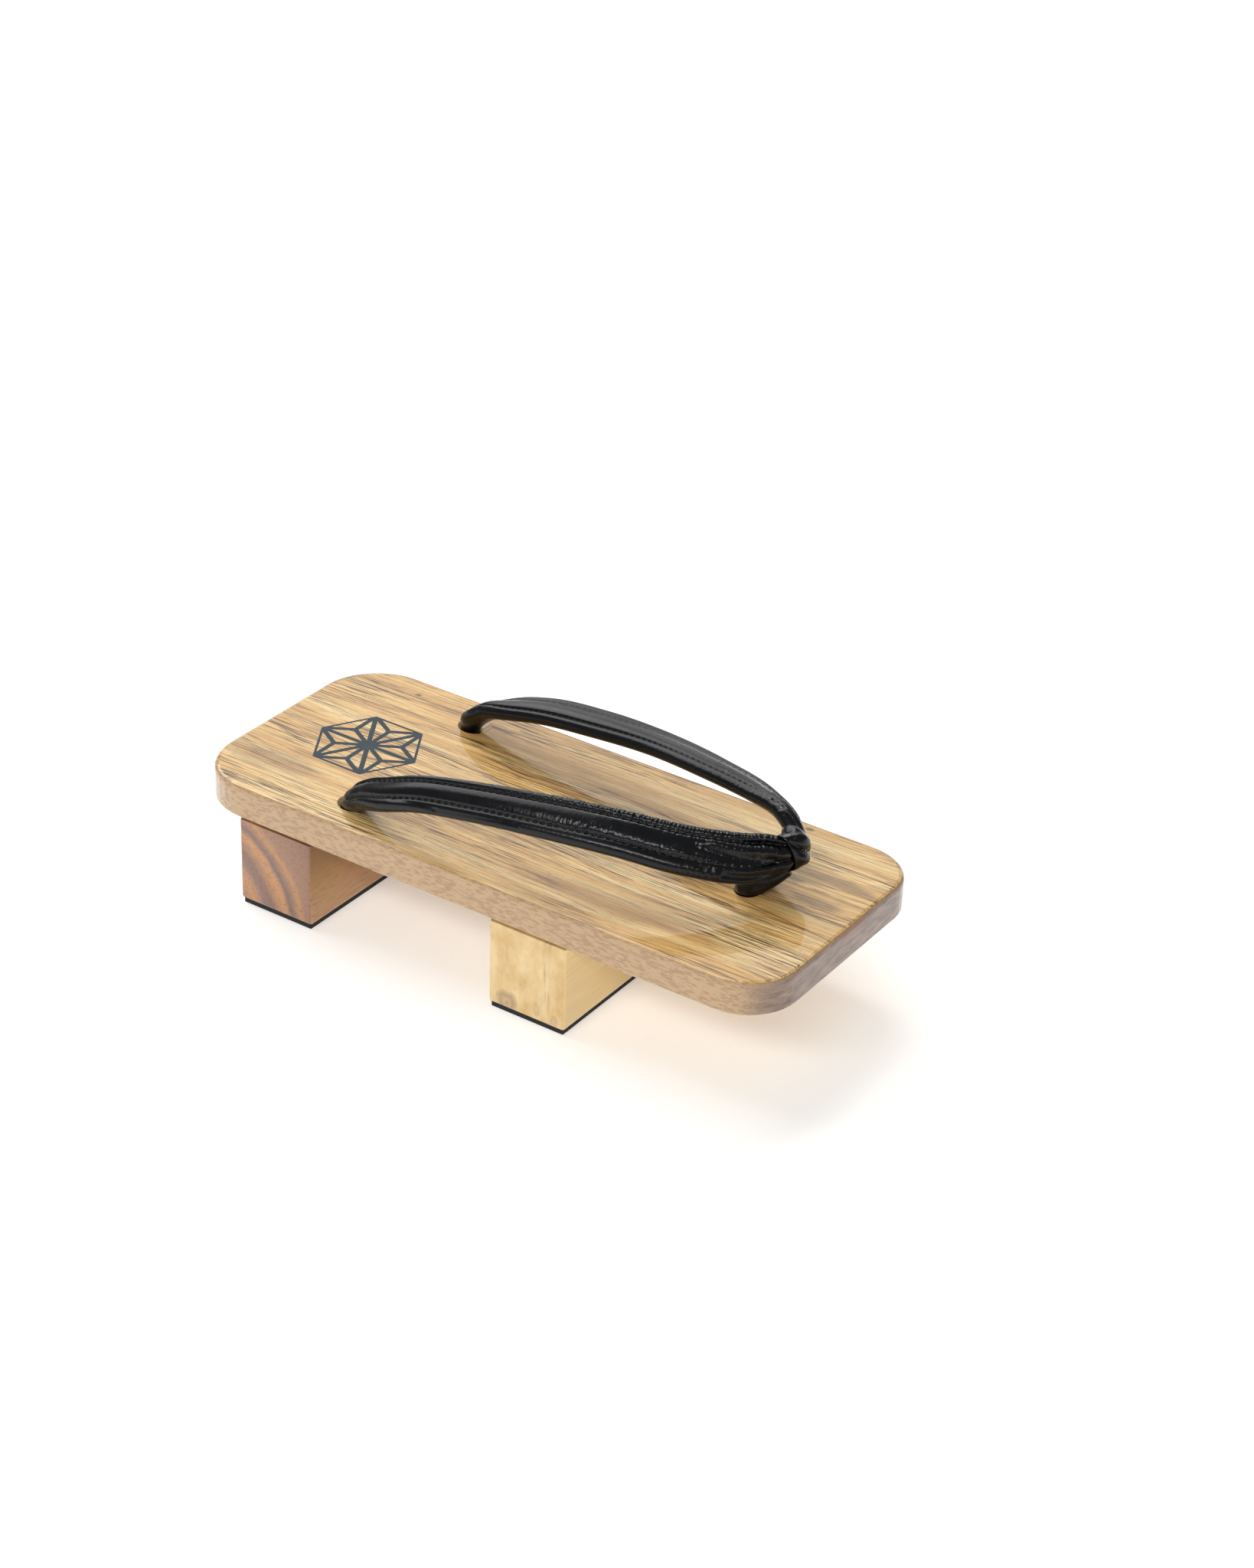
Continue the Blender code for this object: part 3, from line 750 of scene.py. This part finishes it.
def window(value, low, high, fade):
    """Gives 1 between low and high and fades to 0 over a distance on each side."""
    rising = numpy.clip((value - low + fade) / fade, 0, 1)
    falling = numpy.clip((high + fade - value) / fade, 0, 1)
    share = rising * falling
    return share * share * (3 - 2 * share)


def folds_at(table, along, across, scale):
    """Adds up listed creases at places in millimetres; scale turns a share across into them."""
    height = numpy.zeros_like(across)
    for start, start_share, end, end_share, half_width, size in table:
        first = numpy.array((start, start_share * scale))
        line = numpy.array((end, end_share * scale)) - first
        share = ((along - first[0]) * line[0] + (across - first[1]) * line[1]) / line.dot(line)
        held = numpy.clip(share, 0, 1)
        off = numpy.hypot(along - first[0] - held * line[0], across - first[1] - held * line[1])
        height += size * numpy.exp(-(off / half_width) ** 2)
    return height


def strap_relief(sizes, place, u, width, outer):
    """Gives the height of the leather over the plain oval, in metres, at places on a section."""
    along = place / MM
    across = u / MM
    half = width / 2 / MM
    share = across / half
    height = numpy.zeros_like(across)
    fade = min(1.0, max(0.0, (half * 2 - RELIEF_WIDTH) / RELIEF_FADE))
    groove = sizes.groove / MM * (
        1 + PUCKER * math.cos(2 * math.pi * place / sizes.stitch_pitch))
    for row in STITCH_ROW_SHARES:
        off = across - row * half
        height -= groove * numpy.exp(-(off / GROOVE_HALF_WIDTH) ** 2) * fade
        height -= DIP_DEPTH * numpy.exp(-(off / DIP_HALF_WIDTH) ** 2) * fade
    for middle, half_width, size in RIDGES:
        height += size * numpy.exp(-((share - middle) / half_width) ** 2) * fade
    if abs(along) < BEND_REACH:
        height += folds_at(FOLDS, along, across, half) * min(1.0, fade + BEND_SHARE)
    elif along < 0:
        height += folds_at(FOLDS, along, across, half)
    for start, end, low, high, pitch, reach, size in CRINKLES:
        envelope = (window(along, start, end, CRINKLE_FADE[0])
                    * window(share, low, high, CRINKLE_FADE[1]))
        if numpy.max(envelope) > 0:
            fold = numpy.array([noise.noise(Vector((
                (along + CRINKLE_SLANT * far) / pitch, far / reach, start))) for far in across])
            height += size * envelope * (1 - CRINKLE_SHARPNESS * numpy.abs(fold))
    return height * MM * outer


def strap_ring(sizes, place, station, heading, turns, grow=0.0, relief=False):
    """Gives the points of one section of the strap."""
    across, face = section_frame(heading, station[5])
    u, v, out_u, out_v = section_outline(station[3], station[4], turns)
    height = numpy.full(len(turns), grow)
    if relief:
        outer = numpy.clip((out_v + 0.25) / 0.5, 0, 1)
        height = height + strap_relief(sizes, place, u, station[3], outer)
    points = (station[:3] + numpy.outer(u + out_u * height, across)
              + numpy.outer(v + out_v * height, face))
    if station[2] > BOARD_TOP:
        points[:, 2] = numpy.maximum(points[:, 2], BOARD_TOP + CLEARANCE)
    return points


def rolled_shape(points, join_ends=False):
    """Rolls a flat grid up into a closed tube through rows of points, or into a ring."""
    rows, turns = len(points), len(points[0])
    shape = bmesh.new()
    shape.loops.layers.uv.new("UVMap")
    bmesh.ops.create_grid(shape, x_segments=rows - 1, y_segments=turns, size=1.0,
                          calc_uvs=True)
    for vertex in shape.verts:
        row = round((vertex.co.x + 1) / 2 * (rows - 1))
        turn = round((vertex.co.y + 1) / 2 * turns) % turns
        vertex.co = points[row][turn]
    bmesh.ops.remove_doubles(shape, verts=shape.verts, dist=1e-7)
    if not join_ends:
        bmesh.ops.holes_fill(shape, edges=[edge for edge in shape.edges if edge.is_boundary])
    bmesh.ops.recalc_face_normals(shape, faces=shape.faces)
    return shape


def strap_places(sizes):
    """Gives the places of the strap's sections: close together where the leather is folded."""
    along = strap_path(sizes)[1]
    places = [along[0]]
    while places[-1] < along[-1]:
        fine = FINE_STRETCH[0] < places[-1] < FINE_STRETCH[1]
        places.append(places[-1] + (FINE_STEP if fine else COARSE_STEP))
    places[-1] = along[-1]
    return numpy.array(places)


class SANDAL_OT_finish_wood(bpy.types.Operator):
    """Finish the board, the blocks and the rubber soles"""
    bl_idname = "sandal.finish_wood"
    bl_label = "Finish wood and soles"

    def execute(self, context):
        wood = context.scene.sandal_wood
        rubber = sole_rubber()
        for node, material, slot in (
                ("board", board_wood(wood), "board_wood"),
                ("heel_block", heel_block_wood(wood), "heel_block_wood"),
                ("toe_block", toe_block_wood(wood), "toe_block_wood"),
                ("heel_rubber", rubber, "sole_rubber"), ("toe_rubber", rubber, "sole_rubber")):
            dress_node(node, material)
        return {"FINISHED"}


class SANDAL_OT_print_star(bpy.types.Operator):
    """Print a hemp-leaf star, a traditional pattern, on the heel of the board"""
    bl_idname = "sandal.print_star"
    bl_label = "Print star"

    def execute(self, context):
        settings = context.scene.sandal_print
        shape = bmesh.new()
        middle = Vector((BOARD_LOW.x + settings.from_heel, 0, BOARD_TOP))
        rim = [middle + settings.radius * Vector((math.cos(turn), math.sin(turn), 0))
               for turn in (math.radians(60 * k) for k in range(6))]
        corners = [shape.verts.new(point) for point in rim]
        heart = shape.verts.new(middle)
        for k in range(6):
            following = (k + 1) % 6
            centre = shape.verts.new((middle + rim[k] + rim[following]) / 3)
            for pair in ((heart, corners[k]), (corners[k], corners[following]),
                         (corners[following], heart)):
                shape.faces.new((*pair, centre))
        shape.normal_update()
        cells = list(shape.faces)
        bmesh.ops.inset_individual(shape, faces=cells, thickness=settings.stroke / 2,
                                   use_even_offset=True)
        bmesh.ops.delete(shape, geom=cells, context="FACES")
        bmesh.ops.recalc_face_normals(shape, faces=shape.faces)
        raised = bmesh.ops.extrude_face_region(shape, geom=list(shape.faces))
        lifted = [item for item in raised["geom"] if isinstance(item, bmesh.types.BMVert)]
        bmesh.ops.translate(shape, verts=lifted, vec=(0, 0, settings.film))
        bmesh.ops.recalc_face_normals(shape, faces=shape.faces)
        add_piece("hemp_leaf_print", shape, print_ink(settings.ink), smooth=False)
        return {"FINISHED"}


class SANDAL_OT_sew_strap(bpy.types.Operator):
    """Sew the padded leather strap with its folds, grooves and stitches"""
    bl_idname = "sandal.sew_strap"
    bl_label = "Sew strap"

    def execute(self, context):
        sizes = context.scene.sandal_strap
        places = strap_places(sizes)
        stations, headings = sample_path(sizes, places)
        turns = numpy.linspace(0, 2 * math.pi, STRAP_TURNS, endpoint=False)
        points = [strap_ring(sizes, place, station, heading, turns, relief=True)
                  for place, station, heading in zip(places, stations, headings)]
        leather = strap_leather("glossy_strap_cowhide", sizes.leather)
        strap = add_piece("strap_leather", rolled_shape(points), leather,
                          ["strap"])
        add_piece("strap_stitches", self.stitches(sizes), sewing_thread(sizes.thread_colour))
        return {"FINISHED"}

    def stitches(self, sizes):
        """Lays a stitch in each pucker of the two grooves."""
        shape = bmesh.new()
        along = strap_path(sizes)[1]
        count = int(SEWN_LENGTH / sizes.stitch_pitch)
        for side in (-1, 1):
            for k in range(FIRST_STITCH, count):
                place = side * (k + 0.5) * sizes.stitch_pitch
                if not along[0] + PLAIN_END < place < along[-1] - PLAIN_END:
                    continue
                stations, headings = sample_path(sizes, numpy.array([place]))
                station, heading = stations[0], headings[0]
                if station[3] < SEWN_WIDTH:
                    continue
                across, face = section_frame(heading, station[5])
                for row in STITCH_ROW_SHARES:
                    self.stitch(shape, sizes, place, station, heading, across, face, row)
        return shape

    def stitch(self, shape, sizes, place, station, heading, across, face, row):
        """Adds one long round stitch in the groove of a row."""
        power = 2 / (OVAL + SQUARENESS * (1 - station[4] / station[3]))
        turn = math.acos(math.copysign(abs(row) ** (1 / power), row))
        u, v, out_u, out_v = section_outline(station[3], station[4], numpy.array([turn]))
        height = strap_relief(sizes, place, u, station[3], numpy.array([1.0]))[0]
        out = Vector(across * out_u[0] + face * out_v[0])
        spot = Vector(station[:3] + across * u[0] + face * v[0]) + out * height
        forward = Vector(heading)
        side = out.cross(forward).normalized()
        turned = Matrix((forward, side, forward.cross(side))).transposed().to_4x4()
        size = Matrix.Diagonal((sizes.stitch_pitch * 0.40, sizes.thread * 0.5,
                                sizes.thread * 0.5, 1.0))
        bmesh.ops.create_uvsphere(shape, u_segments=8, v_segments=6, radius=1.0,
                                  matrix=Matrix.Translation(spot) @ turned @ size)


class SANDAL_OT_wrap_loop(bpy.types.Operator):
    """Wrap the front loop round the strap's bend, on its stem in the front hole"""
    bl_idname = "sandal.wrap_loop"
    bl_label = "Wrap front loop"

    def execute(self, context):
        sizes = context.scene.sandal_strap
        leather = strap_leather("glossy_loop_cowhide", sizes.leather)
        shape = self.sleeve(sizes)
        stem = self.stem(sizes)
        mesh = bpy.data.meshes.new("stem")
        stem.to_mesh(mesh)
        stem.free()
        shape.from_mesh(mesh)
        bpy.data.meshes.remove(mesh)
        loop = add_piece("front_loop_leather", shape, leather, ["front_loop"])
        remesh = loop.modifiers.new("Join", "REMESH")
        remesh.mode = "VOXEL"
        remesh.voxel_size = LOOP_VOXEL
        remesh.use_smooth_shade = True
        smooth = loop.modifiers.new("Soften", "SMOOTH")
        smooth.factor = 0.5
        smooth.iterations = 4
        depsgraph = context.evaluated_depsgraph_get()
        finished = bpy.data.meshes.new_from_object(loop.evaluated_get(depsgraph))
        loop.modifiers.clear()
        loop.data = finished
        return {"FINISHED"}

    def sleeve(self, sizes):
        """Rolls a ring of leather with a round wall, its folds running round the strap."""
        path, along = strap_path(sizes)
        middle = int(numpy.argmin(numpy.abs(along)))
        slopes = numpy.gradient(path[:, :3], along, axis=0)
        slopes /= numpy.linalg.norm(slopes, axis=1)[:, None]
        turns = numpy.linspace(0, 2 * math.pi, LOOP_TURNS, endpoint=False)
        rows = []
        for step in range(LOOP_STEPS):
            phase = 2 * math.pi * step / LOOP_STEPS
            share = math.cos(phase)
            k = int(numpy.argmin(numpy.abs(along - share * LOOP_WIDTH / 2)))
            heading = slopes[middle] + LOOP_TURN * slopes[k]
            heading /= numpy.linalg.norm(heading)
            wall = sizes.loop_wall * (0.5 + 0.5 * math.sin(phase))
            outer = max(0.0, math.sin(phase))
            folds = folds_at(LOOP_FOLDS, turns / (2 * math.pi) * LOOP_GIRTH,
                             numpy.full(len(turns), share * LOOP_WIDTH / 2 / MM), 1.0)
            across, face = section_frame(heading, path[k][5])
            u, v, out_u, out_v = section_outline(path[k][3], path[k][4], turns)
            height = CLEARANCE + numpy.maximum(wall + outer * folds * MM, LOOP_LEAST_WALL)
            points = (path[k][:3] + numpy.outer(u + out_u * height, across)
                      + numpy.outer(v + out_v * height, face))
            rows.append(points)
        rows.append(rows[0])
        return rolled_shape(rows, join_ends=True)

    def stem(self, sizes):
        """Rolls the stem: straight in its hole, flared on the board, then leaning to the loop."""
        bend = Vector(strap_rows(sizes)[len(TAIL_SHARES) + BEND_ROW][:3])
        foot = Vector((FRONT_HOLE_X, 0, BOARD_TOP))
        rows = [(foot.x, foot.y, BOARD_LOW.z, STEM_DIAMETER),
                (foot.x, foot.y, BOARD_TOP - FRONT_HOLE_EASING, STEM_DIAMETER)]
        for toward, rise, round_share in STEM_ROWS:
            over = foot.lerp(bend, toward)
            rows.append((over.x, over.y, BOARD_TOP + rise * (bend.z - BOARD_TOP),
                         round_share * STEM_DIAMETER))
        path = smooth_rows(rows, STEM_PATH_STEPS)
        slopes = numpy.gradient(path[:, :3], distances(path[:, :3]), axis=0)
        across = (bend - foot).cross(Vector((0, 0, 1))).normalized()
        turns = numpy.linspace(0, 2 * math.pi, STEM_TURNS, endpoint=False)
        points = []
        for step, (station, slope) in enumerate(zip(path, slopes)):
            other = numpy.array(Vector(slope).normalized().cross(across))
            above = min(1.0, max(0.0, (station[2] - BOARD_TOP) / STEM_LOBE_RISE))
            lobes = 1 + above * STEM_LOBE_HEIGHT * numpy.cos(
                STEM_LOBES * turns + STEM_TWIST * step)
            outwards = (numpy.outer(numpy.cos(turns), across)
                        + numpy.outer(numpy.sin(turns), other))
            points.append(station[:3] + outwards * lobes[:, None] * station[3] / 2)
        return rolled_shape(points)


class SANDAL_OT_set_stage(bpy.types.Operator):
    """Set the floor, the soft light and the camera"""
    bl_idname = "sandal.set_stage"
    bl_label = "Set stage"

    def execute(self, context):
        settings = context.scene.sandal_stage
        shape = bmesh.new()
        bmesh.ops.create_grid(shape, x_segments=4, y_segments=4, size=FLOOR_HALF_WIDTH)
        mesh = bpy.data.meshes.new("studio_floor")
        shape.to_mesh(mesh)
        shape.free()
        mesh.materials.append(paint_floor(settings.floor_colour))
        floor = bpy.data.objects.new("studio_floor", mesh)
        context.scene.collection.objects.link(floor)
        world = bpy.data.worlds.new("studio")
        world.use_nodes = True
        set_inputs(world.node_tree.nodes["Background"], {
            "Color": linear("FFFFFF"), "Strength": settings.sky})
        context.scene.world = world
        for name, setting, place, sizes, hex_colour in LAMPS:
            self.add_lamp(name, place, sizes, getattr(settings, setting), hex_colour)
        self.add_camera(context)
        context.scene.view_settings.view_transform = "Standard"
        context.scene.view_settings.look = "None"
        return {"FINISHED"}

    def add_lamp(self, name, place, sizes, radiance, hex_colour):
        """Adds a flat soft light; its power follows from its size and how bright it looks."""
        lamp = bpy.data.lights.new(name, "AREA")
        lamp.shape = "RECTANGLE"
        lamp.size, lamp.size_y = sizes
        lamp.energy = radiance * math.pi * sizes[0] * sizes[1]
        lamp.color = linear(hex_colour)[:3]
        made = bpy.data.objects.new(name, lamp)
        made.location = place
        made.visible_camera = False
        made.rotation_mode = "QUATERNION"
        made.rotation_quaternion = (-Vector(place)).to_track_quat("-Z", "Y")
        bpy.context.scene.collection.objects.link(made)

    def add_camera(self, context):
        """Sets the camera at the fitted angle."""
        azimuth, elevation, roll = (math.radians(angle) for angle in CAMERA_ANGLES)
        back = Vector((math.sin(azimuth) * math.cos(elevation),
                       -math.cos(azimuth) * math.cos(elevation), math.sin(elevation)))
        level = Vector((math.cos(azimuth), math.sin(azimuth), 0))
        upright = back.cross(level)
        right = level * math.cos(roll) + upright * math.sin(roll)
        above = upright * math.cos(roll) - level * math.sin(roll)
        camera = bpy.data.cameras.new("studio_camera")
        camera.sensor_width = SENSOR_WIDTH
        camera.lens = CAMERA_LENS
        camera.clip_start, camera.clip_end = 0.05, 50.0
        made = bpy.data.objects.new("studio_camera", camera)
        made.matrix_world = Matrix.Translation(CAMERA_PLACE) @ Matrix(
            (right, above, back)).transposed().to_4x4()
        context.scene.collection.objects.link(made)
        context.scene.camera = made


class SANDAL_PT_sidebar(bpy.types.Panel):
    """Lists the sandal's settings and steps"""
    bl_idname = "SANDAL_PT_sidebar"
    bl_label = "Wooden sandal"
    bl_space_type = "VIEW_3D"
    bl_region_type = "UI"
    bl_category = "Sandal"

    def draw(self, context):
        for group, settings in SETTINGS.items():
            box = self.layout.box()
            for name in settings.__annotations__:
                box.prop(getattr(context.scene, group), name)
        for step in STEPS:
            self.layout.operator(step.bl_idname)


SETTINGS = {
    "sandal_wood": SandalWoodSettings,
    "sandal_print": SandalPrintSettings,
    "sandal_strap": SandalStrapSettings,
    "sandal_stage": SandalStageSettings,
}
STEPS = (
    SANDAL_OT_finish_wood,
    SANDAL_OT_print_star,
    SANDAL_OT_sew_strap,
    SANDAL_OT_wrap_loop,
    SANDAL_OT_set_stage,
)


def register():
    for part in (*SETTINGS.values(), *STEPS, SANDAL_PT_sidebar):
        bpy.utils.register_class(part)
    for group, settings in SETTINGS.items():
        setattr(bpy.types.Scene, group, bpy.props.PointerProperty(type=settings))


def unregister():
    for group in SETTINGS:
        delattr(bpy.types.Scene, group)
    for part in (SANDAL_PT_sidebar, *reversed(STEPS), *reversed(list(SETTINGS.values()))):
        bpy.utils.unregister_class(part)


def main():
    register()
    bpy.ops.sandal.finish_wood()
    bpy.ops.sandal.print_star()
    bpy.ops.sandal.sew_strap()
    bpy.ops.sandal.wrap_loop()
    bpy.ops.sandal.set_stage()


if __name__ == "__main__":
    main()
